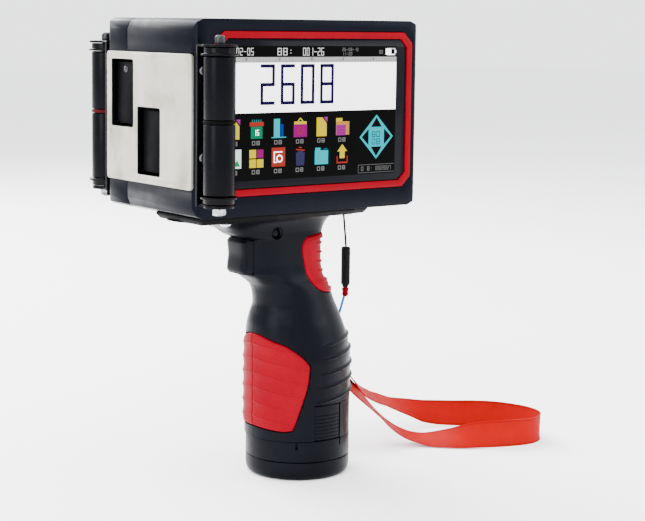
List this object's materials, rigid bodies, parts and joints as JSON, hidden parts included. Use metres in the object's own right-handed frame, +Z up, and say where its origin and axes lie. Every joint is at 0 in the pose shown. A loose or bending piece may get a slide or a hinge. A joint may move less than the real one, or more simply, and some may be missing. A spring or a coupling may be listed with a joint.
{
  "type": "handheld inkjet date coder",
  "caption": "Pistol-grip inkjet date coder with a touchscreen head, staggered print slots in a steel face, guide rollers, slide-in battery and wrist strap.",
  "frame": {"origin": "centre of the battery base, on the surface it stands on", "axes": "+Z up along the handle to the top of the head, -X toward the steel printing face, -Y toward the touchscreen side"},
  "size_m": [0.2431, 0.1266, 0.24],
  "materials": {
    "black_housing": "fine satin moulded texture",
    "red_trim": "satin painted plastic",
    "red_rubber": "matte over-mould",
    "screen_glass": "polished touch panel",
    "display": "matt module",
    "circuit_board": "solder mask",
    "face_steel": "fine brushed stainless",
    "bright_hardware": "bright plated",
    "roller_black": "semi-gloss turned",
    "axle_steel": "dark plated",
    "inner_plastic": "plain moulded",
    "cell_wrap": "shrink wrap",
    "cord_black": "woven cord",
    "cord_blue": "coated cord",
    "ribbon_red": "woven satin ribbon"
  },
  "bodies": {
    "printer": {"cartridge_cradle": "inner_plastic", "charge_socket": "inner_plastic", "contact_block": "inner_plastic", "door_pin": "bright_hardware", "far_bracket_screw_bottom": "bright_hardware", "far_bracket_screw_top": "bright_hardware", "far_cover": "black_housing", "far_roller_axle": "axle_steel", "far_roller_bracket": "black_housing", "far_roller_nut": "bright_hardware", "grip_pad_far": "red_rubber", "grip_pad_near": "red_rubber", "handle_screw": "bright_hardware", "handle_shell_far": "black_housing", "handle_shell_near": "black_housing", "ink_cartridge_lower": "inner_plastic", "ink_cartridge_upper": "inner_plastic", "lcd_module": "display", "main_board": "circuit_board", "main_shell": "black_housing", "near_bracket_screw_bottom": "bright_hardware", "near_bracket_screw_top": "bright_hardware", "near_roller_axle": "axle_steel", "near_roller_bracket": "black_housing", "near_roller_nut": "bright_hardware", "nozzle_plate": "face_steel", "red_trim_ring": "red_trim", "saddle_plate": "black_housing", "saddle_screw": "bright_hardware", "strap_anchor": "bright_hardware", "strap_crimp": "bright_hardware", "strap_link": "cord_blue", "strap_ribbon": "ribbon_red", "strap_sleeve": "cord_black", "strap_string": "cord_black", "thumb_pad": "red_rubber", "touch_glass": "screen_glass", "trigger_switch": "inner_plastic", "usb_socket": "bright_hardware"},
    "near_roller_body": {"near_roller": "roller_black", "near_roller_band": "roller_black", "near_roller_cap_top": "roller_black", "near_roller_cap_bottom": "roller_black"},
    "far_roller_body": {"far_roller": "roller_black", "far_roller_band": "red_trim", "far_roller_cap_top": "roller_black", "far_roller_cap_bottom": "roller_black"},
    "trigger_body": {"trigger": "black_housing"},
    "power_button_body": {"power_button": "red_trim"},
    "rear_door_body": {"rear_door": "black_housing"},
    "battery": {"battery_shell": "black_housing", "battery_base_cap": "black_housing", "battery_cell_1": "cell_wrap", "battery_cell_2": "cell_wrap", "battery_cell_3": "cell_wrap"},
    "near_latch": {"latch_near": "black_housing"},
    "far_latch": {"latch_far": "black_housing"}
  },
  "joints": [
    {"name": "near_roller_spin", "type": "hinge", "parent": "printer", "child": "near_roller_body", "pos_m": [-0.0774, -0.0396, 0.1887], "axis": [0, 0, 1], "continuous": true},
    {"name": "far_roller_spin", "type": "hinge", "parent": "printer", "child": "far_roller_body", "pos_m": [-0.0774, 0.0686, 0.1887], "axis": [0, 0, 1], "continuous": true},
    {"name": "trigger_pull", "type": "slide", "parent": "printer", "child": "trigger_body", "axis": [1, 0, 0], "range_m": [0, 0.004], "stiffness_N_per_m": 700, "springref_m": -0.001},
    {"name": "power_press", "type": "slide", "parent": "printer", "child": "power_button_body", "axis": [-1, 0, 0], "range_m": [0, 0.0012], "stiffness_N_per_m": 600, "springref_m": -0.0006},
    {"name": "rear_door_hinge", "type": "hinge", "parent": "printer", "child": "rear_door_body", "pos_m": [0.0546, 0.0506, 0.1912], "axis": [0, 0, 1], "range_deg": [0, 90]},
    {"name": "battery_slide", "type": "slide", "parent": "printer", "child": "battery", "axis": [0, 0, -1], "range_m": [0, 0.07]},
    {"name": "near_latch_press", "type": "slide", "parent": "battery", "child": "near_latch", "axis": [0, 1, 0], "range_m": [0, 0.0015], "stiffness_N_per_m": 900, "springref_m": -0.0005},
    {"name": "far_latch_press", "type": "slide", "parent": "battery", "child": "far_latch", "axis": [0, -1, 0], "range_m": [0, 0.0015], "stiffness_N_per_m": 900, "springref_m": -0.0005}
  ]
}
